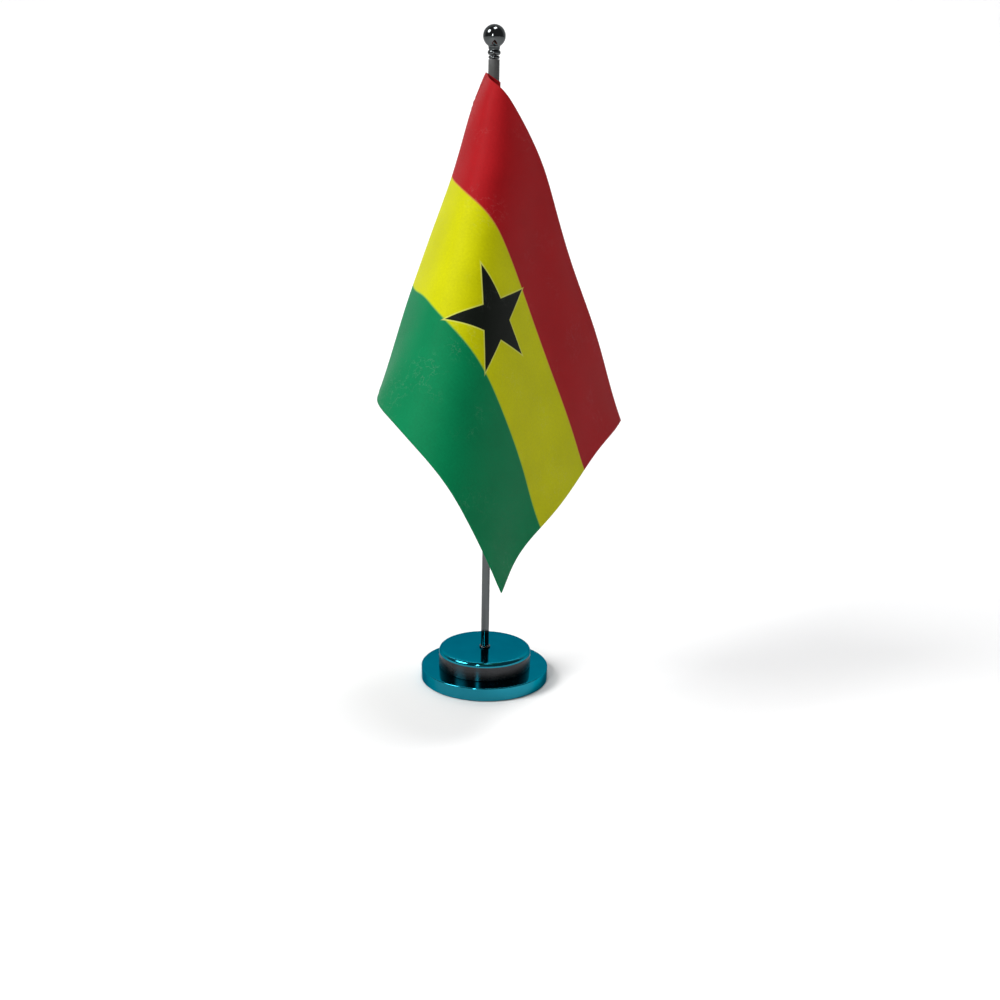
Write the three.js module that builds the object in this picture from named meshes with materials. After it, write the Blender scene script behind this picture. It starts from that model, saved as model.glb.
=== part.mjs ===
// Desk flag stand: a weighted two-tier base, a pole that screws onto it, a ball finial and a small
// hanging flag. Millimetres, +Z up. The origin is the middle of the underside of the foot pad.

import * as THREE from 'three';

// Clearances
const SEAT_GAP = 0.05; // between faces that rest on each other
const TURN_GAP = 0.1; // radial, between pieces that turn or slide on each other

// Base: a disc with a smaller drum on it, both hollow from below and filled with ballast
const DISC_RADIUS = 32.2;
const DISC_TOP = 7.1;
const DISC_ROOF = 1.6;
const DISC_EDGE_ROUND = 0.5;
const DISC_RECESS_RADIUS = 28;
const PAD_RADIUS = 30;
const PAD_THICKNESS = 1.2;
const PAD_PROUD = 0.4;
const DRUM_RADIUS = 23.3;
const DRUM_TOP = 16.6;
const DRUM_WALL = 1.9;
const DRUM_EDGE_ROUND = 2.3;

// Base bolt, from the pocket in the disc's ballast up into the foot of the pole
const BOLT_RADIUS = 1.5;
const BOLT_POCKET_RADIUS = 8;
const BOLT_HEAD_FLATS = 5.5;
const BOLT_HEAD_HEIGHT = 2;
const WASHER_RADIUS = 5;
const WASHER_THICKNESS = 0.6;
const SPRING_WASHER_RADIUS = 3.1;
const SPRING_WASHER_GAP_ANGLE = 0.25;
const NOSE_RADIUS = 1;
const NOSE_LENGTH = 6.5;
const NOSE_CHAMFER = 0.3;

// Pole
const POLE_RADIUS = 2;
const POLE_BORE = 1.5;
const POLE_TOP = 303.6;
const RING_RADIUS = 2.75;
const RING_HEIGHT = 0.7;
const BUSH_LENGTH = 9;
const GRIP_RADIUS = 2.6;
const GRIP_LENGTH = 14;

// Finial: a lower bead on its own, then an upper bead, neck and ball turned as one piece
const BEAD_RADIUS = 2.6;
const BEAD_HEIGHT = 1.6;
const UPPER_BEAD_RADIUS = 3;
const UPPER_BEAD_HEIGHT = 2.6;
const NECK_RADIUS = 2.5;
const BALL_RADIUS = 5.2;
const FINIAL_TOP = 319;
const FINIAL_SOCKET = 4;
const STUD_ENGAGEMENT = 7;

// Flag: a cloth 210 by 140 mm, with a sewn tube along its hoist that the pole stands in
const FLAG_LENGTH = 210;
const FLAG_DEPTH = 140;
const CLOTH_THICKNESS = 0.8;
const SLEEVE_TOP = 298.3;
const SLEEVE_BOTTOM = 167.8;
const SLEEVE_RADIUS = 3.05;
const SEAM_GAP = 0.35; // from the tube to the edge of the cloth

// Drape. The cloth hangs as a bent cone: every straight line in it runs through one point, its tip,
// which lies outside the cloth, above the hoist and behind it. Angles are measured round the tip in
// the flat cloth, from the direction of the hoist.
const TIP_BEHIND_HOIST = 12.1;
const TIP_ABOVE_TOP = 37.3;
const CONE_TOP = 308.1; // height of the hoist's top corner on the bare cone
const HOIST_PLANE = 196.3; // compass direction of the cloth where it leaves the pole, degrees
const CURL = -0.72; // steady bend, radians per radian round the tip
const BENDS = [
  { at: 17.8, half: 5.3, turn: -182.7 }, // the roll that brings the cloth back across the pole
  { at: 39.4, half: 9.6, turn: -104.8 }, // the soft ridge down the front
  { at: 63, half: 9.5, turn: 13 }, // a slight bend back towards the fly
];
const SETTLE = 9.8; // how far the top corner sinks below the bare cone
const SETTLE_REACH = 76;
const STAND_OFF = 13.3; // how far the front layer bulges round the pole
const STAND_OFF_REACH = 153;
const MARCH_STEP = 0.1; // degrees

const DISC_SEGMENTS = 64;
const ROD_SEGMENTS = 32;
const ARC_STEPS = 5;
const degrees = THREE.MathUtils.degToRad;

const group = new THREE.Group();

function metal(color, roughness) {
  return new THREE.MeshStandardMaterial({ color, metalness: 1, roughness });
}

function dull(color, roughness) {
  return new THREE.MeshStandardMaterial({ color, metalness: 0, roughness });
}

const finishes = {
  baseChrome: metal(0x4fa3b0, 0.08),
  chrome: metal(0xb8bcc0, 0.08),
  steel: metal(0x8a8d90, 0.4),
  iron: metal(0x4a4a4c, 0.6),
  brass: metal(0xb39a55, 0.35),
  rubber: dull(0x2a2c2c, 0.7),
  foam: dull(0x1c1c1e, 0.95),
  hoist: dull(0xb02028, 0.7),
  cloth: dull(0xd8cc10, 0.7),
};

function add(name, geometry, finish) {
  const mesh = new THREE.Mesh(geometry, finishes[finish].clone());
  mesh.name = name;
  group.add(mesh);
}

// A solid of revolution about Z. Its outline is [radius, height] pairs, counter-clockwise.
function turned(outline, segments) {
  const points = outline.map(([radius, height]) => new THREE.Vector2(radius, height));
  return new THREE.LatheGeometry(points, segments).rotateX(Math.PI / 2);
}

function tube(inner, outer, bottom, top, segments = ROD_SEGMENTS) {
  const outline = [[inner, bottom], [outer, bottom], [outer, top], [inner, top], [inner, bottom]];
  return turned(outline, segments);
}

// Points on an arc of an outline, from angle start to angle end in degrees.
function arc(radius, height, size, start, end, steps = ARC_STEPS) {
  const points = [];
  for (let i = 0; i <= steps; i += 1) {
    const angle = degrees(start + (end - start) * i / steps);
    points.push([radius + size * Math.cos(angle), height + size * Math.sin(angle)]);
  }
  return points;
}

// --- Base ---

const discRoof = DISC_TOP - DISC_ROOF;
const drumBottom = DISC_TOP + SEAT_GAP;
const drumRoof = DRUM_TOP - DRUM_WALL;
const holeRadius = BOLT_RADIUS + TURN_GAP;

function makeBase() {
  add('foot_pad', turned([[0, 0], [PAD_RADIUS, 0], [PAD_RADIUS, PAD_THICKNESS],
    [0, PAD_THICKNESS]], DISC_SEGMENTS), 'foam');

  const padRecess = PAD_THICKNESS + SEAT_GAP;
  const rim = DISC_RADIUS - DISC_EDGE_ROUND;
  add('base_disc', turned([
    [PAD_RADIUS + TURN_GAP, PAD_PROUD],
    ...arc(rim, PAD_PROUD + DISC_EDGE_ROUND, DISC_EDGE_ROUND, -90, 0, 3),
    ...arc(rim, DISC_TOP - DISC_EDGE_ROUND, DISC_EDGE_ROUND, 0, 90, 3),
    [holeRadius, DISC_TOP],
    [holeRadius, discRoof],
    [DISC_RECESS_RADIUS, discRoof],
    [DISC_RECESS_RADIUS, padRecess],
    [PAD_RADIUS + TURN_GAP, padRecess],
    [PAD_RADIUS + TURN_GAP, PAD_PROUD],
  ], DISC_SEGMENTS), 'baseChrome');

  add('ballast_disc', tube(BOLT_POCKET_RADIUS, DISC_RECESS_RADIUS - TURN_GAP,
    padRecess + SEAT_GAP, discRoof - SEAT_GAP, DISC_SEGMENTS), 'iron');

  const drumRecess = DRUM_RADIUS - DRUM_WALL;
  add('base_drum', turned([
    [drumRecess, drumBottom],
    [DRUM_RADIUS, drumBottom],
    ...arc(DRUM_RADIUS - DRUM_EDGE_ROUND, DRUM_TOP - DRUM_EDGE_ROUND, DRUM_EDGE_ROUND, 0, 90),
    [holeRadius, DRUM_TOP],
    [holeRadius, drumRoof],
    [drumRecess, drumRoof],
    [drumRecess, drumBottom],
  ], DISC_SEGMENTS), 'baseChrome');

  add('drum_ballast', tube(holeRadius, drumRecess - TURN_GAP, drumBottom + SEAT_GAP,
    drumRoof - SEAT_GAP, DISC_SEGMENTS), 'iron');
}

function makeBolt() {
  const washerTop = discRoof - SEAT_GAP;
  const washerBottom = washerTop - WASHER_THICKNESS;
  add('bolt_washer', tube(holeRadius, WASHER_RADIUS, washerBottom, washerTop), 'steel');

  const split = new THREE.Shape();
  const first = SPRING_WASHER_GAP_ANGLE;
  const last = 2 * Math.PI - SPRING_WASHER_GAP_ANGLE;
  split.absarc(0, 0, SPRING_WASHER_RADIUS, first, last, false);
  split.absarc(0, 0, holeRadius, last, first, true);
  const springTop = washerBottom - SEAT_GAP;
  const springBottom = springTop - WASHER_THICKNESS;
  const spring = new THREE.ExtrudeGeometry(split,
    { depth: WASHER_THICKNESS, bevelEnabled: false, curveSegments: ROD_SEGMENTS });
  add('spring_washer', spring.translate(0, 0, springBottom), 'steel');

  const headTop = springBottom - SEAT_GAP;
  const head = headTop - BOLT_HEAD_HEIGHT;
  const headRadius = BOLT_HEAD_FLATS / 2;
  const noseTop = DRUM_TOP + SEAT_GAP + NOSE_LENGTH;
  const shankTop = DRUM_TOP - SEAT_GAP;
  add('base_bolt', turned([
    [0, head],
    [headRadius, head],
    [headRadius, headTop],
    [BOLT_RADIUS, headTop],
    [BOLT_RADIUS, shankTop],
    [NOSE_RADIUS, shankTop],
    [NOSE_RADIUS, noseTop - NOSE_CHAMFER],
    [NOSE_RADIUS - NOSE_CHAMFER, noseTop],
    [0, noseTop],
  ], ROD_SEGMENTS), 'steel');
}

// --- Pole ---

const ringBottom = DRUM_TOP + SEAT_GAP;
const poleBottom = ringBottom + RING_HEIGHT + SEAT_GAP;
const threadBore = NOSE_RADIUS + TURN_GAP;
const bushRadius = POLE_BORE - SEAT_GAP;

function makePole() {
  add('joint_ring', tube(threadBore, RING_RADIUS, ringBottom, ringBottom + RING_HEIGHT),
    'chrome');
  add('pole_tube', tube(POLE_BORE, POLE_RADIUS, poleBottom, POLE_TOP), 'chrome');
  add('pole_foot_bush', tube(threadBore, bushRadius, poleBottom, poleBottom + BUSH_LENGTH),
    'brass');
  add('pole_top_bush', tube(threadBore, bushRadius, POLE_TOP - BUSH_LENGTH, POLE_TOP), 'brass');
  add('grip_sleeve', tube(POLE_RADIUS + SEAT_GAP, GRIP_RADIUS, POLE_TOP - GRIP_LENGTH, POLE_TOP),
    'rubber');
}

// --- Finial ---

function makeFinial() {
  const beadBottom = POLE_TOP + SEAT_GAP;
  const beadRound = BEAD_HEIGHT / 2;
  const beadCore = BEAD_RADIUS - beadRound;
  add('finial_ring', turned([
    [threadBore, beadBottom],
    ...arc(beadCore, beadBottom + beadRound, beadRound, -90, 90, 8),
    [threadBore, beadBottom + BEAD_HEIGHT],
    [threadBore, beadBottom],
  ], ROD_SEGMENTS), 'chrome');

  const bottom = beadBottom + BEAD_HEIGHT + SEAT_GAP;
  const upperRound = UPPER_BEAD_HEIGHT / 2;
  const ballCentre = FINIAL_TOP - BALL_RADIUS;
  const neckBottom = bottom + UPPER_BEAD_HEIGHT;
  add('finial', turned([
    [NOSE_RADIUS + SEAT_GAP, bottom],
    ...arc(UPPER_BEAD_RADIUS - upperRound, bottom + upperRound, upperRound, -90, 60, 8),
    [NECK_RADIUS, neckBottom],
    [NECK_RADIUS + 0.1, neckBottom + 1],
    ...arc(0, ballCentre, BALL_RADIUS, -56, 90, 12),
    [0, bottom + FINIAL_SOCKET],
    [NOSE_RADIUS + SEAT_GAP, bottom + FINIAL_SOCKET],
    [NOSE_RADIUS + SEAT_GAP, bottom],
  ], ROD_SEGMENTS), 'chrome');

  const studTop = bottom + FINIAL_SOCKET - SEAT_GAP;
  const studBottom = POLE_TOP - STUD_ENGAGEMENT;
  add('finial_stud', turned([[0, studBottom], [NOSE_RADIUS, studBottom], [NOSE_RADIUS, studTop],
    [0, studTop]], ROD_SEGMENTS), 'steel');
}

// --- Flag ---

const hoistEdge = SLEEVE_RADIUS + SEAM_GAP;
const down = new THREE.Vector3(0, 0, -1);
const outward = new THREE.Vector3(Math.cos(degrees(HOIST_PLANE)),
  Math.sin(degrees(HOIST_PLANE)), 0);

// Angle round the tip of a point in the flat cloth, which is u from the hoist and v from the top.
function tipAngle(u, v) {
  return Math.atan2(u + TIP_BEHIND_HOIST, v + TIP_ABOVE_TOP);
}

function bendAt(angle) {
  let rate = CURL;
  for (const { at, half, turn } of BENDS) {
    const place = (angle - degrees(at)) / degrees(half);
    if (Math.abs(place) < 1) {
      rate += turn / half * (1 + Math.cos(Math.PI * place)) / 2;
    }
  }
  return rate;
}

// For each angle, in rising order: the straight line's direction and the cloth's normal. Below the
// first angle the cloth is flat, and beyond it the cloth bends.
function layRulings(angles, first) {
  const along = down.clone().multiplyScalar(Math.cos(first))
    .addScaledVector(outward, Math.sin(first));
  const across = outward.clone().multiplyScalar(Math.cos(first))
    .addScaledVector(down, -Math.sin(first));
  const normal = new THREE.Vector3().crossVectors(along, across);
  let reached = first;
  return angles.map((angle) => {
    if (angle <= first) {
      const flat = down.clone().multiplyScalar(Math.cos(angle))
        .addScaledVector(outward, Math.sin(angle));
      return { angle, along: flat, normal: normal.clone() };
    }
    const steps = Math.max(1, Math.ceil((angle - reached) / degrees(MARCH_STEP)));
    const step = (angle - reached) / steps;
    for (let i = 0; i < steps; i += 1) {
      const spin = normal.clone().addScaledVector(along, bendAt(reached + (i + 0.5) * step));
      const amount = spin.length() * step;
      spin.normalize();
      along.applyAxisAngle(spin, amount);
      normal.applyAxisAngle(spin, amount);
    }
    reached = angle;
    return { angle, along: along.clone(), normal: normal.clone() };
  });
}

// Angles of the straight lines: even steps between the corners and the ends of each bend, with
// more steps inside a bend.
function rulingAngles() {
  const trim = degrees(0.4); // leaves off the sharp point at the first and the last corner
  const [roll, ridge, last] = BENDS;
  const marks = [
    [tipAngle(hoistEdge, FLAG_DEPTH) + trim, 0],
    [tipAngle(0, 0), 5],
    [degrees(roll.at + roll.half), 16],
    [degrees(ridge.at - ridge.half), 3],
    [degrees(ridge.at + ridge.half), 14],
    [tipAngle(FLAG_LENGTH, FLAG_DEPTH), 1],
    [degrees(last.at + last.half), 9],
    [tipAngle(FLAG_LENGTH, 0) - trim, 4],
  ];
  const angles = [marks[0][0]];
  for (let i = 1; i < marks.length; i += 1) {
    const [end, steps] = marks[i];
    const start = marks[i - 1][0];
    for (let j = 1; j <= steps; j += 1) {
      angles.push(start + (end - start) * j / steps);
    }
  }
  return angles;
}

function clothPoint(tip, ruling, reach, side) {
  const u = reach * Math.sin(ruling.angle) - TIP_BEHIND_HOIST;
  const v = reach * Math.cos(ruling.angle) - TIP_ABOVE_TOP;
  const fromCorner = Math.hypot(u, v);
  const [roll] = BENDS;
  const inFront = THREE.MathUtils.smoothstep(ruling.angle, degrees(roll.at - roll.half),
    degrees(roll.at + roll.half));
  const point = tip.clone().addScaledVector(ruling.along, reach);
  point.z -= SETTLE * Math.exp(-((fromCorner / SETTLE_REACH) ** 2));
  point.y -= STAND_OFF * inFront * Math.exp(-((fromCorner / STAND_OFF_REACH) ** 2));
  return point.addScaledVector(ruling.normal, side * CLOTH_THICKNESS / 2);
}

// The cloth as a closed solid: two skins of flat strips between the straight lines, and its edge.
function clothSolid() {
  const rows = 4;
  const first = tipAngle(0, 0);
  const rulings = layRulings(rulingAngles(), first);
  const tip = new THREE.Vector3(0, 0, CONE_TOP);
  tip.addScaledVector(down, -TIP_ABOVE_TOP);
  tip.addScaledVector(outward, -TIP_BEHIND_HOIST);

  const positions = [];
  for (const ruling of rulings) {
    const sine = Math.sin(ruling.angle);
    const cosine = Math.cos(ruling.angle);
    const near = Math.max((hoistEdge + TIP_BEHIND_HOIST) / sine, TIP_ABOVE_TOP / cosine);
    const far = Math.min((FLAG_LENGTH + TIP_BEHIND_HOIST) / sine,
      (FLAG_DEPTH + TIP_ABOVE_TOP) / cosine);
    for (let row = 0; row <= rows; row += 1) {
      const reach = near + (far - near) * row / rows;
      for (const side of [1, -1]) {
        positions.push(...clothPoint(tip, ruling, reach, side).toArray());
      }
    }
  }

  const faces = [];
  const corner = (column, row, side) => ((rows + 1) * column + row) * 2 + side;
  const quad = (a, b, c, d) => faces.push(a, b, c, a, c, d);
  const columns = rulings.length - 1;
  for (let i = 0; i < columns; i += 1) {
    for (let j = 0; j < rows; j += 1) {
      quad(corner(i, j, 0), corner(i, j + 1, 0), corner(i + 1, j + 1, 0), corner(i + 1, j, 0));
      quad(corner(i, j, 1), corner(i + 1, j, 1), corner(i + 1, j + 1, 1), corner(i, j + 1, 1));
    }
    quad(corner(i, 0, 0), corner(i + 1, 0, 0), corner(i + 1, 0, 1), corner(i, 0, 1));
    quad(corner(i, rows, 0), corner(i, rows, 1), corner(i + 1, rows, 1), corner(i + 1, rows, 0));
  }
  for (let j = 0; j < rows; j += 1) {
    quad(corner(0, j, 0), corner(0, j, 1), corner(0, j + 1, 1), corner(0, j + 1, 0));
    quad(corner(columns, j, 0), corner(columns, j + 1, 0), corner(columns, j + 1, 1),
      corner(columns, j, 1));
  }
  const geometry = new THREE.BufferGeometry();
  geometry.setAttribute('position', new THREE.Float32BufferAttribute(positions, 3));
  geometry.setIndex(faces);
  geometry.computeVertexNormals();
  return geometry;
}

function makeFlag() {
  add('hoist_sleeve', tube(GRIP_RADIUS + TURN_GAP, SLEEVE_RADIUS, SLEEVE_BOTTOM, SLEEVE_TOP),
    'hoist');
  add('flag_cloth', clothSolid(), 'cloth');
}

makeBase();
makeBolt();
makePole();
makeFinial();
makeFlag();

export default group;
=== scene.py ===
"""Looks of the desk flag stand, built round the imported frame. Metres, +Z up, -Y towards the viewer."""

import math

import bpy
import numpy as np
from mathutils import Matrix, Quaternion, Vector


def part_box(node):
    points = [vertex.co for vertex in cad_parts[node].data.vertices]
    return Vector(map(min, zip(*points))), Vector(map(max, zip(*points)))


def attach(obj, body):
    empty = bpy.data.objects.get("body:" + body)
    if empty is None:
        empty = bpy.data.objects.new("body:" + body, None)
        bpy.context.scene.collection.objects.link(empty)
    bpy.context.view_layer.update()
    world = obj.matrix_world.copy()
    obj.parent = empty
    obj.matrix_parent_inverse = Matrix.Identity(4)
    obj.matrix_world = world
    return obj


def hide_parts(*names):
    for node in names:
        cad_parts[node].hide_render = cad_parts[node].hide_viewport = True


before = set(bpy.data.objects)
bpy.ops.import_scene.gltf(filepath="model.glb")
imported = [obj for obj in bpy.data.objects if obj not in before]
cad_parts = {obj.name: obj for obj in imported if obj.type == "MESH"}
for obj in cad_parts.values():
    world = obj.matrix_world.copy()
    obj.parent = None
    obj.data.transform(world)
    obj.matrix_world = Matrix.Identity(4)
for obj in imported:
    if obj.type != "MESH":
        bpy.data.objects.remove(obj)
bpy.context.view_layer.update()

MM = 0.001

# Camera: the viewpoint, how far it looks down, and its slight roll
CAMERA_PLACE = (0.0064, -0.700, 0.2961)
CAMERA_DOWN = 16.07
CAMERA_ROLL = 1.05
CAMERA_LENS = 52.92

# Flag, in millimetres in its flat cloth: u runs from the hoist to the fly, v from the top down
FLAG_LENGTH = 210.0
FLAG_DEPTH = 140.0
BAND = FLAG_DEPTH / 3
STAR_RADIUS = BAND / (1 + math.cos(math.radians(36)))
CLOTH_THICKNESS = 0.25
CLOTH_START = 0.1
CLOTH_COLUMNS = 209
CLOTH_ROWS = 141

# Drape: the cloth is a bent cone, as in the CAD model. Angles are round the cone's tip, in degrees.
TIP_BEHIND_HOIST = 12.1
TIP_ABOVE_TOP = 37.3
CONE_TOP = 308.1
HOIST_PLANE = 196.3
CURL = -0.72
BENDS = ((17.8, 5.3, -182.7), (39.4, 9.6, -104.8), (63.0, 9.5, 13.0))
SETTLE = 9.8
SETTLE_REACH = 76.0
STAND_OFF = 13.3
STAND_OFF_REACH = 153.0
MARCH_STEP = math.radians(0.05)
FLAT_STEPS = 200

# Where the cloth leaves the pole, and what the hanging cloth does beyond the bare cone
HOIST_SHARE = 0.3
LEAVE_REACH = 9.0
POLE_CLEARANCE = 0.35
# Where in the flat cloth it hangs away from the bare cone, how far round, and by how much
MOVES = (
    ((50, 140), 26, (-2.0, 0.0, -12.0)),
    ((86, 140), 22, (-5.0, 0.0, -2.0)),
    ((8, 12), 28, (-3.2, 0.0, 0.0)),
    ((55, 0), 28, (3.2, 0.0, 0.0)),
    ((38, 95), 24, (-2.6, 0.0, -8.0)),
    ((22, 47), 16, (-0.6, 0.0, -2.0)),
    ((210, 110), 28, (-4.8, 0.0, 1.0)),
    ((170, 140), 32, (-1.6, 0.0, 0.0)),
    ((210, 30), 26, (-1.5, 0.0, 0.0)),
    ((210, 0), 20, (0.4, 0.0, -2.6)),
)
TUNNEL_SLANT = 4.0
TUNNEL_SLANT_REACH = 12.0
TUNNEL_TURNS = 40
TUNNEL_GAP = math.radians(8)
SEAM = 7.5
LAP = 9.0
LAP_GAP = 0.35
LAP_START = 0.6
STITCH_PITCH = 3.0
STITCH_LENGTH = 2.2
THREAD_RADIUS = 0.12


# --- Camera, floor and light ---


def make_camera():
    data = bpy.data.cameras.new("camera")
    data.lens = CAMERA_LENS
    data.sensor_width = 36
    camera = bpy.data.objects.new("camera", data)
    turn = Matrix.Rotation(math.radians(90 - CAMERA_DOWN), 4, "X")
    roll = Matrix.Rotation(math.radians(CAMERA_ROLL), 4, "Z")
    camera.matrix_world = Matrix.Translation(CAMERA_PLACE) @ turn @ roll
    bpy.context.collection.objects.link(camera)
    bpy.context.scene.camera = camera


def place_light(name, kind, place, aim, power):
    data = bpy.data.lights.new(name, kind)
    data.energy = power
    light = bpy.data.objects.new(name, data)
    light.location = place
    light.rotation_euler = (Vector(aim) - Vector(place)).to_track_quat("-Z", "Y").to_euler()
    bpy.context.collection.objects.link(light)
    return data


def soft_box(name, place, aim, size, power):
    data = place_light(name, "AREA", place, aim, power)
    data.shape = "RECTANGLE"
    data.size, data.size_y = size


def window_light(name, place, power, softness):
    """Even light from far away in the direction of place. softness is its width in degrees."""
    data = place_light(name, "SUN", place, (0, 0, 0), power)
    data.angle = math.radians(softness)


def make_world():
    """Pale behind the stand and grey in front of it."""
    world = bpy.data.worlds.new("studio")
    world.use_nodes = True
    bpy.context.scene.world = world
    tree = world.node_tree
    background = tree.nodes["Background"]
    where = tree.nodes.new("ShaderNodeTexCoord")
    split = tree.nodes.new("ShaderNodeSeparateXYZ")
    tree.links.new(where.outputs["Generated"], split.inputs[0])
    ramp = tree.nodes.new("ShaderNodeValToRGB")
    tree.links.new(split.outputs["Y"], ramp.inputs[0])
    ends = ((0.1, (0.12, 0.12, 0.125, 1)), (0.7, (0.90, 0.91, 0.92, 1)))
    for element, (position, color) in zip(ramp.color_ramp.elements, ends):
        element.position = position
        element.color = color
    tree.links.new(ramp.outputs[0], background.inputs["Color"])


def make_floor():
    """A pale floor that sweeps up into a low wall behind the stand."""
    front, reach, wall, bend, half_width, steps = -2.4, 2.6, 0.7, 0.5, 3.0, 24
    outline = [(front, 0.0), (reach - bend, 0.0)]
    for i in range(1, steps + 1):
        angle = math.pi / 2 * i / steps
        outline.append((reach - bend + bend * math.sin(angle), bend - bend * math.cos(angle)))
    outline.append((reach, wall))
    verts, faces = [], []
    for y, z in outline:
        verts += [(-half_width, y, z), (half_width, y, z)]
    for i in range(len(outline) - 1):
        faces.append((2 * i, 2 * i + 1, 2 * i + 3, 2 * i + 2))
    mesh = bpy.data.meshes.new("floor")
    mesh.from_pydata(verts, [], faces)
    mesh.polygons.foreach_set("use_smooth", [True] * len(faces))
    floor = bpy.data.objects.new("floor", mesh)
    bpy.context.collection.objects.link(floor)
    material = bpy.data.materials.new("floor")
    material.use_nodes = True
    surface = material.node_tree.nodes["Principled BSDF"]
    surface.inputs["Base Color"].default_value = (0.86, 0.86, 0.86, 1)
    surface.inputs["Roughness"].default_value = 0.9
    surface.inputs["Specular IOR Level"].default_value = 0.1
    mesh.materials.append(material)


# --- Small helpers for shader nodes ---


class Shader:
    """One material and the few node helpers that its recipe needs."""

    def __init__(self, name):
        self.material = bpy.data.materials.new(name)
        self.material.use_nodes = True
        self.tree = self.material.node_tree
        self.surface = self.tree.nodes["Principled BSDF"]

    def set(self, **values):
        for name, value in values.items():
            self.surface.inputs[name.replace("_", " ")].default_value = value

    def feed(self, source, socket):
        self.tree.links.new(source, self.surface.inputs[socket])

    def node(self, kind, links=(), **settings):
        node = self.tree.nodes.new(kind)
        for name, value in settings.items():
            setattr(node, name, value)
        for socket, source in links:
            self.put(node.inputs[socket], source)
        return node

    def put(self, socket, source):
        if isinstance(source, bpy.types.NodeSocket):
            self.tree.links.new(source, socket)
        else:
            socket.default_value = source

    def math(self, operation, a, b=0.0, clamp=False):
        node = self.node("ShaderNodeMath", [(0, a), (1, b)], operation=operation)
        node.use_clamp = clamp
        return node.outputs[0]

    def mix(self, factor, a, b):
        node = self.node("ShaderNodeMix", data_type="RGBA")
        self.put(node.inputs["Factor"], factor)
        self.put(node.inputs[6], a)
        self.put(node.inputs[7], b)
        return node.outputs[2]

    def scaled(self, color, tone):
        """color times the value tone."""
        if not isinstance(color, bpy.types.NodeSocket):
            color = color[:3]
        node = self.node("ShaderNodeVectorMath", [(0, color)], operation="SCALE")
        self.put(node.inputs["Scale"], tone)
        return node.outputs[0]

    def noise(self, where, scale, detail=3.0, roughness=0.55):
        links = [("Vector", where), ("Scale", scale), ("Detail", detail), ("Roughness", roughness)]
        return self.node("ShaderNodeTexNoise", links).outputs["Fac"]

    def spread(self, value, low, high, start, end):
        """Maps low..high to start..end, and holds the ends."""
        links = [(0, value), (1, low), (2, high), (3, start), (4, end)]
        return self.node("ShaderNodeMapRange", links).outputs[0]

    def place(self, kind="Object"):
        return self.node("ShaderNodeTexCoord").outputs[kind]

    def stretched(self, where, scale):
        return self.node("ShaderNodeMapping", [("Vector", where), ("Scale", scale)]).outputs[0]

    def bump(self, height, strength, distance):
        links = [("Height", height), ("Strength", strength), ("Distance", distance)]
        self.feed(self.node("ShaderNodeBump", links).outputs[0], "Normal")


# --- Materials ---


def polished(name, color, roughness, edge_tint):
    """Mirror plate with faint smears and polishing marks. edge_tint is its colour at a low angle."""
    shader = Shader(name)
    shader.set(Metallic=1.0, Specular_Tint=edge_tint)
    where = shader.place()
    smear = shader.noise(where, 90.0, 4.0, 0.6)
    fine = shader.noise(shader.stretched(where, (1400.0, 1400.0, 5200.0)), 1.0, 2.0)
    tone = shader.spread(smear, 0.3, 0.7, 0.93, 1.05)
    shader.feed(shader.scaled(color, tone), "Base Color")
    shader.feed(shader.spread(smear, 0.35, 0.75, roughness, roughness + 0.06), "Roughness")
    shader.bump(fine, 0.04, 0.00002)
    return shader.material


def turned_finish(name, color, roughness):
    """A lathe-turned wall: fine grooves round the Z axis draw each highlight out into a streak."""
    shader = Shader(name)
    shader.set(Metallic=1.0, Anisotropic=0.85, Anisotropic_Rotation=0.25)
    where = shader.place()
    round_axis = shader.node("ShaderNodeTangent", direction_type="RADIAL", axis="Z")
    shader.feed(round_axis.outputs[0], "Tangent")
    grooves = shader.noise(shader.stretched(where, (60.0, 60.0, 9000.0)), 1.0, 3.0)
    smear = shader.noise(where, 120.0, 4.0, 0.6)
    tone = shader.math("MULTIPLY", shader.spread(grooves, 0.3, 0.7, 0.7, 1.25),
                       shader.spread(smear, 0.3, 0.7, 0.85, 1.15))
    shader.feed(shader.scaled(color, tone), "Base Color")
    shader.feed(shader.spread(smear, 0.35, 0.75, roughness, roughness + 0.08), "Roughness")
    shader.bump(grooves, 0.15, 0.00003)
    return shader.material


def worked_metal(name, color, roughness, scale, depth):
    """Plated, machined or cast metal with grain of the given scale."""
    shader = Shader(name)
    shader.set(Metallic=1.0)
    where = shader.place()
    grain = shader.noise(where, scale, 5.0, 0.65)
    patches = shader.noise(where, scale / 9, 3.0)
    dark = tuple(0.72 * c for c in color[:3]) + (1,)
    shader.feed(shader.mix(shader.spread(patches, 0.35, 0.7, 0.0, 1.0), color, dark), "Base Color")
    shader.feed(shader.spread(grain, 0.3, 0.7, roughness - 0.08, roughness + 0.12), "Roughness")
    shader.bump(grain, 0.5, depth)
    return shader.material


def soft_solid(name, color, roughness, scale, depth):
    """Rubber or foam: a pitted skin with dusty patches."""
    shader = Shader(name)
    shader.set(Specular_IOR_Level=0.35)
    where = shader.place()
    grain = shader.noise(where, scale, 6.0, 0.7)
    dust = shader.spread(shader.noise(where, scale / 14, 4.0), 0.45, 0.75, 0.0, 0.5)
    dusty = tuple(min(1.0, c + 0.10) for c in color[:3]) + (1,)
    shader.feed(shader.mix(dust, color, dusty), "Base Color")
    shader.feed(shader.spread(grain, 0.3, 0.7, roughness - 0.1, roughness + 0.1), "Roughness")
    shader.bump(grain, 0.6, depth)
    return shader.material


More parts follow.
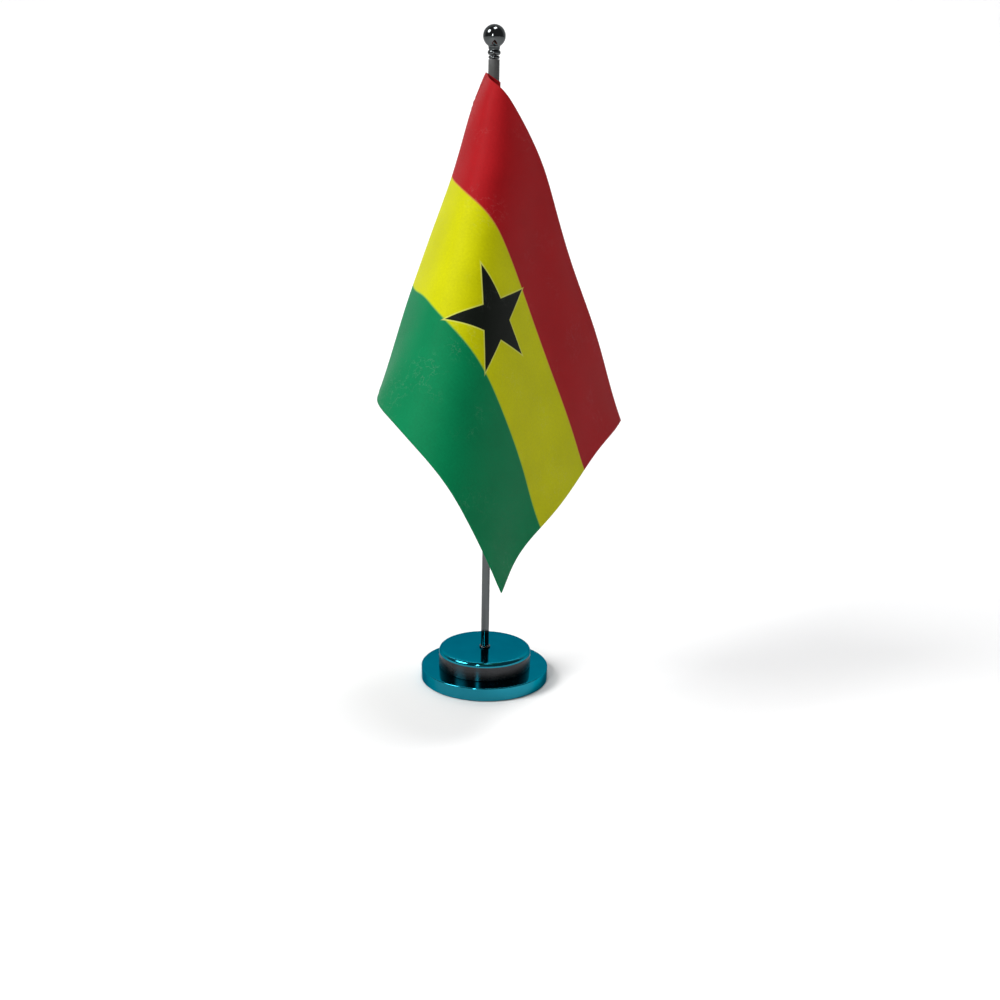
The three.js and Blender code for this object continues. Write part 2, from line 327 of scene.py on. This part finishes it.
RED = (0.310, 0.007, 0.010, 1)
YELLOW = (0.470, 0.475, 0.001, 1)
GREEN = (0.001, 0.165, 0.060, 1)
BLACK = (0.006, 0.008, 0.006, 1)
ORANGE_LINE = (0.48, 0.20, 0.04, 1)
GREEN_LINE = (0.22, 0.40, 0.04, 1)
YELLOW_LINE = (0.56, 0.58, 0.12, 1)


def star_edge(shader, u, v):
    """Signed distance in millimetres from the edge of the five-pointed star, negative inside it."""
    right = shader.math("SUBTRACT", u, FLAG_LENGTH / 2)
    up = shader.math("SUBTRACT", BAND + STAR_RADIUS, v)
    away = shader.math("SQRT", shader.math("ADD", shader.math("MULTIPLY", right, right),
                                          shader.math("MULTIPLY", up, up)))
    fifth = 2 * math.pi / 5
    angle = shader.math("ADD", shader.math("ARCTAN2", right, up), fifth / 2 + 2 * math.pi)
    folded = shader.math("ABSOLUTE", shader.math("SUBTRACT", shader.math("MODULO", angle, fifth),
                                                fifth / 2))
    inner = STAR_RADIUS * math.sin(math.radians(18)) / math.sin(math.radians(54))
    step = (inner * math.cos(fifth / 2) - STAR_RADIUS, inner * math.sin(fifth / 2))
    length = math.hypot(*step)
    normal = (step[1] / length, -step[0] / length)
    across = shader.math("MULTIPLY", away, shader.math("COSINE", folded))
    aside = shader.math("MULTIPLY", away, shader.math("SINE", folded))
    reach = shader.math("ADD", shader.math("MULTIPLY", across, normal[0]),
                        shader.math("MULTIPLY", aside, normal[1]))
    return shader.math("SUBTRACT", reach, normal[0] * STAR_RADIUS)


def printed_cloth(name, with_star):
    """Printed satin polyester. Its UV map holds the place in the flat cloth, as shares of its size."""
    shader = Shader(name)
    flat = shader.node("ShaderNodeSeparateXYZ", [(0, shader.place("UV"))])
    u = shader.math("MULTIPLY", flat.outputs[0], FLAG_LENGTH)
    v = shader.math("MULTIPLY", shader.math("SUBTRACT", 1.0, flat.outputs[1]), FLAG_DEPTH)
    blur = 0.12

    def edge(value, place):
        return shader.spread(value, place - blur, place + blur, 0.0, 1.0)

    color = shader.mix(edge(v, BAND), RED, YELLOW)
    color = shader.mix(edge(v, 2 * BAND), color, GREEN)
    for place, line in ((BAND, ORANGE_LINE), (2 * BAND, GREEN_LINE)):
        off = shader.math("ABSOLUTE", shader.math("SUBTRACT", v, place))
        color = shader.mix(shader.spread(off, 0.15, 0.5, 0.75, 0.0), color, line)
    if with_star:
        away = star_edge(shader, u, v)
        color = shader.mix(shader.spread(away, 0.35, 0.75, 0.8, 0.0), color, YELLOW_LINE)
        color = shader.mix(shader.spread(away, -blur, blur, 1.0, 0.0), color, BLACK)

    place = shader.node("ShaderNodeCombineXYZ", [(0, u), (1, v)]).outputs[0]
    mottle = shader.noise(place, 0.9, 5.0, 0.7)
    cloudy = shader.noise(place, 0.05, 3.0)
    tone = shader.math("MULTIPLY", shader.spread(mottle, 0.3, 0.7, 0.90, 1.07),
                       shader.spread(cloudy, 0.3, 0.7, 0.94, 1.05))

    patch = shader.spread(shader.noise(place, 0.035, 2.0), 0.52, 0.62, 0.0, 1.0)
    ridge = shader.math("ABSOLUTE", shader.math("SUBTRACT", shader.noise(place, 0.16, 4.0, 0.6), 0.5))
    scuff = shader.math("MULTIPLY", patch, shader.spread(ridge, 0.0, 0.012, 1.0, 0.0))
    pale = shader.mix(0.04, color, (0.8, 0.8, 0.8, 1))
    color = shader.mix(scuff, color, pale)

    def threads(along, pitch):
        wave = shader.math("SINE", shader.math("MULTIPLY", along, 2 * math.pi / pitch))
        return shader.math("ABSOLUTE", wave)

    warp = threads(u, 0.70)
    weft = threads(v, 0.56)
    weave = shader.math("MAXIMUM", warp, weft)
    tone = shader.math("MULTIPLY", tone, shader.spread(weave, 0.2, 1.0, 0.90, 1.02))
    shader.feed(shader.scaled(color, tone), "Base Color")
    shader.feed(shader.spread(mottle, 0.3, 0.7, 0.46, 0.62), "Roughness")
    shader.set(Specular_IOR_Level=0.05)
    grain = shader.math("ADD", weave, shader.math("MULTIPLY", mottle, 1.6))
    shader.bump(grain, 0.35, 0.00006)
    return shader.material


def thread(name, color):
    """Sewing thread: twisted strands along each stitch."""
    shader = Shader(name)
    where = shader.place()
    strands = shader.noise(where, 2600.0, 2.0)
    dark = tuple(0.6 * c for c in color[:3]) + (1,)
    shader.feed(shader.mix(strands, dark, color), "Base Color")
    shader.set(Roughness=0.6, Sheen_Weight=0.2)
    shader.bump(strands, 0.5, 0.00005)
    return shader.material


# --- Meshes ---


def make_piece(name, verts, faces, body, material):
    mesh = bpy.data.meshes.new(name)
    mesh.from_pydata([tuple(v) for v in verts], [], faces)
    mesh.polygons.foreach_set("use_smooth", [True] * len(faces))
    mesh.materials.append(material)
    mesh.update()
    piece = bpy.data.objects.new(name, mesh)
    bpy.context.collection.objects.link(piece)
    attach(piece, body)
    return piece


def rounded(corners, steps=6):
    """An outline of [radius, height, rounding] corners in millimetres, with each corner rounded."""
    points = []
    count = len(corners)
    for i, (radius, height, size) in enumerate(corners):
        here = np.array((radius, height), float)
        if size == 0:
            points.append(here)
            continue
        before = np.array(corners[i - 1][:2], float)
        after = np.array(corners[(i + 1) % count][:2], float)
        start = here + size * (before - here) / np.linalg.norm(before - here)
        end = here + size * (after - here) / np.linalg.norm(after - here)
        for j in range(steps + 1):
            t = j / steps
            points.append((1 - t) ** 2 * start + 2 * t * (1 - t) * here + t ** 2 * end)
    return points


def turned(name, outline, body, material, segments=128, closed=False):
    """A solid of revolution about Z. An outline that isn't closed starts and ends on the axis."""
    verts, rings = [], []
    for radius, height in outline:
        if radius < 1e-6:
            rings.append([len(verts)] * segments)
            verts.append((0.0, 0.0, height * MM))
            continue
        ring = []
        for k in range(segments):
            angle = 2 * math.pi * k / segments
            ring.append(len(verts))
            verts.append((radius * MM * math.cos(angle), radius * MM * math.sin(angle), height * MM))
        rings.append(ring)
    faces = []
    last = len(rings) if closed else len(rings) - 1
    for i in range(last):
        low, high = rings[i], rings[(i + 1) % len(rings)]
        for k in range(segments):
            n = (k + 1) % segments
            corners = [low[k], low[n], high[n], high[k]]
            unique = list(dict.fromkeys(corners))
            if len(unique) >= 3:
                faces.append(tuple(unique))
    return make_piece(name, verts, faces, body, material)


def heights(node):
    low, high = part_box(node)
    return low.z / MM, high.z / MM


def radius_of(node):
    low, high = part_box(node)
    return (high.x - low.x) / 2 / MM


# --- Metal pieces ---

# Painted teal reflection: the base is plain chrome, and the teal of its surroundings is put into the
# metal's own colour.
PAINTED_TEAL_REFLECTION = (0.016, 0.215, 0.290, 1)
# Chrome darkened as a painted dark reflection of a dark room, used on the drum's outer wall.
CHROME_PAINTED_DARK = (0.055, 0.055, 0.058, 1)
GRIP_BLACK = (0.055, 0.058, 0.056, 1)
# Pole chrome darkened as a painted dark reflection of a dark room.
POLE_CHROME_PAINTED_DARK = (0.095, 0.102, 0.104, 1)

# Sizes in millimetres
BOLT_HOLE = 1.6
DISC_ROOF = 1.6
DISC_INSIDE = 28.0
DISC_INNER_FOOT = 1.25
PAD_CLEARANCE = 0.12
DRUM_WALL = 1.9
DRUM_BEVEL = 2.3
PAINTED_DARK_WALL_DEPTH = 0.4
RING_BORE = 1.1
FOOT_RING_RADIUS = 2.75
POLE_BORE = 1.5
POLE_RADIUS = 2.0
GRIP_BORE = 2.05
GRIP_RADIUS = 2.6
LOWER_BEAD_RADIUS = 2.6
UPPER_BEAD_RADIUS = 3.0
UPPER_BEAD_HALF = 1.25
NECK_RADIUS = 2.6
NECK_BEND = 1.5
BALL_RADIUS = 5.2
BALL_START = -55
STUD_BORE = 1.05
STUD_DEPTH = 4.0


def make_base():
    # The plate's teal colour and teal edge tint are a painted teal reflection on plain chrome.
    plate = polished("chrome_painted_teal_reflection", PAINTED_TEAL_REFLECTION, 0.07, (0.12, 0.36, 0.42, 1))
    # The wall's darkened chrome is a painted dark reflection; its turned grooves and streaks are real.
    wall_painted_dark = turned_finish("drum_wall_painted_dark", CHROME_PAINTED_DARK, 0.22)
    low, high = heights("base_disc")
    rim = radius_of("base_disc")
    pad = radius_of("foot_pad") + PAD_CLEARANCE
    roof = high - DISC_ROOF
    disc = turned("base_disc_shell", rounded([
        (pad, low, 0.15), (rim, low, 0.5), (rim, high, 0.55), (BOLT_HOLE, high, 0.1),
        (BOLT_HOLE, roof, 0.0), (DISC_INSIDE, roof, 0.3), (DISC_INSIDE, DISC_INNER_FOOT, 0.0),
        (pad, DISC_INNER_FOOT, 0.0),
    ]), "base", plate, 192, closed=True)
    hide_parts("base_disc")

    low, high = heights("base_drum")
    rim = radius_of("base_drum")
    wall = rim - DRUM_WALL
    shell = turned("base_drum_shell", rounded([
        (wall, low, 0.1), (rim, low, 0.35), (rim, high, DRUM_BEVEL), (BOLT_HOLE, high, 0.15),
        (BOLT_HOLE, high - DRUM_WALL, 0.0), (wall, high - DRUM_WALL, 0.3),
    ], 10), "base", plate, 192, closed=True)
    shell.data.materials.append(wall_painted_dark)
    # Painted reflection by facing: the outer wall below the bevel gets the darkened chrome, the tops and
    # the bevel get the painted teal.
    for face in shell.data.polygons:
        outside = math.hypot(face.center.x, face.center.y) > (rim - PAINTED_DARK_WALL_DEPTH) * MM
        face.material_index = int(outside and face.center.z < (high - DRUM_BEVEL) * MM)
    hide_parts("base_drum")


def make_pole(chrome):
    low, high = heights("joint_ring")
    ring = turned("foot_joint_ring", rounded([
        (RING_BORE, low, 0.0), (FOOT_RING_RADIUS, low, 0.3), (FOOT_RING_RADIUS, high, 0.3),
        (RING_BORE, high, 0.0),
    ]), "foot_ring", chrome, 96, closed=True)
    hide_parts("joint_ring")

    low, high = heights("pole_tube")
    pole = turned("pole_rod", rounded([
        (POLE_BORE, low, 0.1), (POLE_RADIUS, low, 0.25), (POLE_RADIUS, high, 0.1),
        (POLE_BORE, high, 0.1),
    ]), "pole", chrome, 96, closed=True)
    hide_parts("pole_tube")

    low, high = heights("grip_sleeve")
    grip = turned("grip_tube", rounded([
        (GRIP_BORE, low, 0.1), (GRIP_RADIUS, low, 0.2), (GRIP_RADIUS, high, 0.25),
        (GRIP_BORE, high, 0.1),
    ]), "pole", soft_solid("grip_rubber", GRIP_BLACK, 0.55, 1800.0, 0.00006),
                  96, closed=True)
    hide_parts("grip_sleeve")


def arc(radius, height, size, start, end, steps):
    points = []
    for i in range(steps + 1):
        angle = math.radians(start + (end - start) * i / steps)
        points.append((radius + size * math.cos(angle), height + size * math.sin(angle)))
    return points


def make_finial(chrome):
    low, high = heights("finial_ring")
    middle, size = (low + high) / 2, (high - low) / 2
    edge = arc(LOWER_BEAD_RADIUS - size, middle, size, -90, 90, 14)
    bead = turned("finial_lower_bead", [(RING_BORE, low)] + edge + [(RING_BORE, high)],
                  "top_ring", chrome, 96, closed=True)
    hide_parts("finial_ring")

    low, high = heights("finial")
    centre = high - BALL_RADIUS
    neck = low + 2.6
    flare = []
    start = np.array((NECK_RADIUS, neck + 0.2))
    end = np.array(arc(0, centre, BALL_RADIUS, BALL_START, BALL_START, 1)[0])
    bend = np.array((NECK_RADIUS, neck + NECK_BEND))
    for i in range(1, 10):
        t = i / 10
        flare.append(tuple((1 - t) ** 2 * start + 2 * t * (1 - t) * bend + t ** 2 * end))
    outline = [(STUD_BORE, low)] + arc(UPPER_BEAD_RADIUS - UPPER_BEAD_HALF, low + UPPER_BEAD_HALF,
                                       UPPER_BEAD_HALF, -90, 62, 16)
    outline += [tuple(start)] + flare + arc(0, centre, BALL_RADIUS, BALL_START, 90, 40)[:-1]
    outline += [(0.0, high), (0.0, low + STUD_DEPTH), (STUD_BORE, low + STUD_DEPTH)]
    piece = turned("ball_finial", outline, "finial", chrome, 128, closed=True)
    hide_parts("finial")


def dress_inner_nodes():
    """The pieces inside keep their CAD shapes and get their own finishes."""
    iron = worked_metal("ballast_iron", (0.16, 0.16, 0.17, 1), 0.6, 900.0, 0.0002)
    steel = worked_metal("fastener_zinc", (0.55, 0.56, 0.57, 1), 0.3, 1500.0, 0.00004)
    brass = worked_metal("bush_brass", (0.72, 0.55, 0.26, 1), 0.3, 1500.0, 0.00004)
    foam = soft_solid("pad_foam", (0.025, 0.025, 0.027, 1), 0.9, 1600.0, 0.0002)
    finishes = {
        "foot_pad": foam, "ballast_disc": iron, "drum_ballast": iron, "bolt_washer": steel,
        "spring_washer": steel, "base_bolt": steel, "finial_stud": steel,
        "pole_foot_bush": brass, "pole_top_bush": brass,
    }
    for node, material in finishes.items():
        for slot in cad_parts[node].material_slots:
            slot.material = material


# --- Flag ---


def fade(distance, reach):
    """1 at no distance, falling smoothly to nothing beyond reach."""
    return np.exp(-((distance / reach) ** 2))


def bend_rate(angle):
    rate = CURL
    for place, half, turn in BENDS:
        share = (math.degrees(angle) - place) / half
        if abs(share) < 1:
            rate += turn / half * (1 + math.cos(math.pi * share)) / 2
    return rate


def lay_rulings():
    """The angles round the tip, and the direction and the cloth's normal at each of them."""
    down = Vector((0, 0, -1))
    compass = math.radians(HOIST_PLANE)
    outward = Vector((math.cos(compass), math.sin(compass), 0))
    first = math.atan2(TIP_BEHIND_HOIST, TIP_ABOVE_TOP)
    last = math.atan2(FLAG_LENGTH + TIP_BEHIND_HOIST, TIP_ABOVE_TOP)
    along = down * math.cos(first) + outward * math.sin(first)
    across = outward * math.cos(first) - down * math.sin(first)
    normal = along.cross(across)
    angles, lines, normals = [], [], []
    for i in range(FLAT_STEPS):
        angle = first * i / FLAT_STEPS
        angles.append(angle)
        lines.append(down * math.cos(angle) + outward * math.sin(angle))
        normals.append(normal.copy())
    steps = math.ceil((last - first) / MARCH_STEP)
    step = (last - first) / steps
    for i in range(steps + 1):
        angles.append(first + i * step)
        lines.append(along.copy())
        normals.append(normal.copy())
        spin = normal + along * bend_rate(first + (i + 0.5) * step)
        turn = Quaternion(spin.normalized(), spin.length * step)
        along.rotate(turn)
        normal.rotate(turn)
    tip = Vector((0, 0, CONE_TOP)) - down * TIP_ABOVE_TOP - outward * TIP_BEHIND_HOIST
    return np.array(angles), np.array(lines), np.array(normals), np.array(tip)


def drape(u, v):
    """Places in millimetres of points of the flat cloth, and the cloth's normals there."""
    angles, lines, normals, tip = lay_rulings()
    angle = np.arctan2(u + TIP_BEHIND_HOIST, v + TIP_ABOVE_TOP)
    reach = np.hypot(u + TIP_BEHIND_HOIST, v + TIP_ABOVE_TOP)
    line = np.stack([np.interp(angle, angles, lines[:, k]) for k in range(3)], -1)
    normal = np.stack([np.interp(angle, angles, normals[:, k]) for k in range(3)], -1)
    place = tip + reach[..., None] * line
    corner = np.hypot(u, v)
    roll_at, roll_half = (math.radians(x) for x in BENDS[0][:2])
    share = np.clip((angle - roll_at + roll_half) / (2 * roll_half), 0, 1)
    in_front = share * share * (3 - 2 * share)
    edge = radius_of("hoist_sleeve")
    free = 1 - (1 - HOIST_SHARE) * fade(u - edge, LEAVE_REACH)
    place[..., 2] -= SETTLE * fade(corner, SETTLE_REACH)
    place[..., 1] -= STAND_OFF * in_front * free * fade(corner, STAND_OFF_REACH)
    for (middle_u, middle_v), round_it, move in MOVES:
        share = fade(np.hypot(u - middle_u, v - middle_v), round_it)
        place += share[..., None] * np.array(move)
    place += ripples(u, v, angle, reach)[..., None] * normal
    away = np.hypot(place[..., 0], place[..., 1])
    push = np.maximum(1.0, (edge + POLE_CLEARANCE) / np.maximum(away, 0.1))
    place[..., :2] *= push[..., None]
    return place, normal


def ripples(u, v, angle, reach):
    """Gentle waves in millimetres: along the cloth's straight lines, and at its free edges."""
    degrees = np.degrees(angle)
    held = 1 - fade(u, 30.0)
    folds = 0.45 * np.sin(degrees / 4.3 + 0.6) * np.sin(degrees / 11.0) * reach / 150.0
    fly = 0.7 * fade(FLAG_LENGTH - u, 16.0) * np.sin(v / 13.0 + 0.4)
    foot = 0.6 * fade(FLAG_DEPTH - v, 13.0) * np.sin(u / 15.0)
    head = 0.4 * fade(v, 10.0) * np.sin(u / 12.0 + 1.0)
    return held * (folds + fly + foot + head)


def grid_faces(columns, rows):
    faces = []
    for i in range(columns - 1):
        for j in range(rows - 1):
            a = i * rows + j
            faces.append((a, a + 1, a + rows + 1, a + rows))
    return faces


def set_flat_uv(piece, u, v):
    """Writes each point's place in the flat cloth to a UV map."""
    layer = piece.data.uv_layers.new(name="flat")
    shares = np.stack([u.ravel() / FLAG_LENGTH, 1 - v.ravel() / FLAG_DEPTH], -1)
    corners = np.empty(len(piece.data.loops), dtype=np.int32)
    piece.data.loops.foreach_get("vertex_index", corners)
    layer.data.foreach_set("uv", shares[corners].ravel())


def make_flag(material):
    start = radius_of("hoist_sleeve") + CLOTH_START
    columns, rows = CLOTH_COLUMNS, CLOTH_ROWS
    u, v = np.meshgrid(np.linspace(start, FLAG_LENGTH, columns), np.linspace(0, FLAG_DEPTH, rows),
                       indexing="ij")
    place, _ = drape(u, v)
    cloth = make_piece("printed_flag", place.reshape(-1, 3) * MM, grid_faces(columns, rows), "flag",
                       material)
    set_flat_uv(cloth, u, v)
    skin(cloth)
    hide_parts("flag_cloth")
    return cloth


def skin(piece):
    """Gives a one-sided piece of cloth its thickness."""
    modifier = piece.modifiers.new("skin", "SOLIDIFY")
    modifier.thickness = CLOTH_THICKNESS * MM
    modifier.offset = 0.0


def make_tunnel(material):
    """The hoist's sewn tube: the cloth goes round the pole and lies back on itself at the seam."""
    outer = radius_of("hoist_sleeve")
    rows, lap_steps = CLOTH_ROWS, 6
    v = np.linspace(0, FLAG_DEPTH, rows)
    start, _ = drape(np.full(rows, outer + CLOTH_START), v)
    compass = np.arctan2(start[:, 1], start[:, 0])
    columns, shares = [start], [outer]
    for k in range(TUNNEL_TURNS + 1):
        angle = compass + TUNNEL_GAP + (2 * math.pi - 2 * TUNNEL_GAP) * k / TUNNEL_TURNS
        x, y = outer * np.cos(angle), outer * np.sin(angle)
        slant = TUNNEL_SLANT * np.exp(-v / TUNNEL_SLANT_REACH)
        slant *= (x - start[:, 0]) / (2 * outer)
        columns.append(np.stack([x, y, start[:, 2] - slant], -1))
        shares.append(outer)
    for k in range(lap_steps + 1):
        u = outer + LAP_START + (LAP - outer - LAP_START) * k / lap_steps
        place, normal = drape(np.full(rows, u), v)
        columns.append(place - LAP_GAP * normal)
        shares.append(u)
    places = np.stack(columns)
    tunnel = make_piece("hoist_tunnel", places.reshape(-1, 3) * MM, grid_faces(len(columns), rows),
                        "flag", material)
    set_flat_uv(tunnel, *np.meshgrid(shares, v, indexing="ij"))
    skin(tunnel)
    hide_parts("hoist_sleeve")
    return tunnel


def make_stitches(material):
    """The seam's lockstitches, which show on both faces of the cloth."""
    verts, faces = [], []
    steps, sides = 6, 6
    count = int(FLAG_DEPTH / STITCH_PITCH)
    for face in (1, -1):
        rise = CLOTH_THICKNESS / 2 + (0 if face > 0 else LAP_GAP)
        for k in range(count):
            middle = (k + 0.5) * FLAG_DEPTH / count
            along = np.linspace(-0.5, 0.5, steps + 1)
            place, normal = drape(np.full(steps + 1, SEAM), middle + along * STITCH_LENGTH)
            lift = rise + THREAD_RADIUS * (1 - 10 * np.abs(along) ** 3)
            place += (face * lift)[:, None] * normal
            ahead = np.gradient(place, axis=0)
            ahead /= np.linalg.norm(ahead, axis=1)[:, None]
            aside = np.cross(ahead, normal)
            first = len(verts)
            for i in range(steps + 1):
                for j in range(sides):
                    turn = 2 * math.pi * j / sides
                    verts.append((place[i] + THREAD_RADIUS * (math.cos(turn) * normal[i]
                                                             + math.sin(turn) * aside[i])) * MM)
            for i in range(steps):
                for j in range(sides):
                    a, b = first + i * sides + j, first + i * sides + (j + 1) % sides
                    faces.append((a, b, b + sides, a + sides))
            faces.append(tuple(first + j for j in reversed(range(sides))))
            faces.append(tuple(first + steps * sides + j for j in range(sides)))
    return make_piece("hoist_stitches", verts, faces, "flag", material)


bpy.context.scene.view_settings.view_transform = "Standard"
make_camera()
make_world()
make_floor()
window_light("key", (-0.80, -0.32, 0.72), 2.5, 26.0)
soft_box("top", (0.10, -0.10, 1.10), (0, 0, 0.15), (0.34, 0.24), 4.0)
soft_box("backdrop", (0.0, 1.1, 1.5), (0.0, 2.5, 0.25), (2.4, 0.5), 26.0)
soft_box("front_left", (-0.20, -0.66, 0.40), (0, 0, 0.0), (0.06, 0.20), 1.6)

# Darkened chrome, a painted dark reflection, for the pole, its rings and the finial.
pole_chrome = polished("pole_chrome", POLE_CHROME_PAINTED_DARK, 0.05, (0.6, 0.6, 0.6, 1))
make_base()
make_pole(pole_chrome)
make_finial(pole_chrome)
dress_inner_nodes()

flag_material = printed_cloth("printed_satin", with_star=True)
flag = make_flag(flag_material)
tunnel = make_tunnel(printed_cloth("printed_satin_hoist", with_star=False))
stitches = make_stitches(thread("red_thread", (0.30, 0.012, 0.016, 1)))
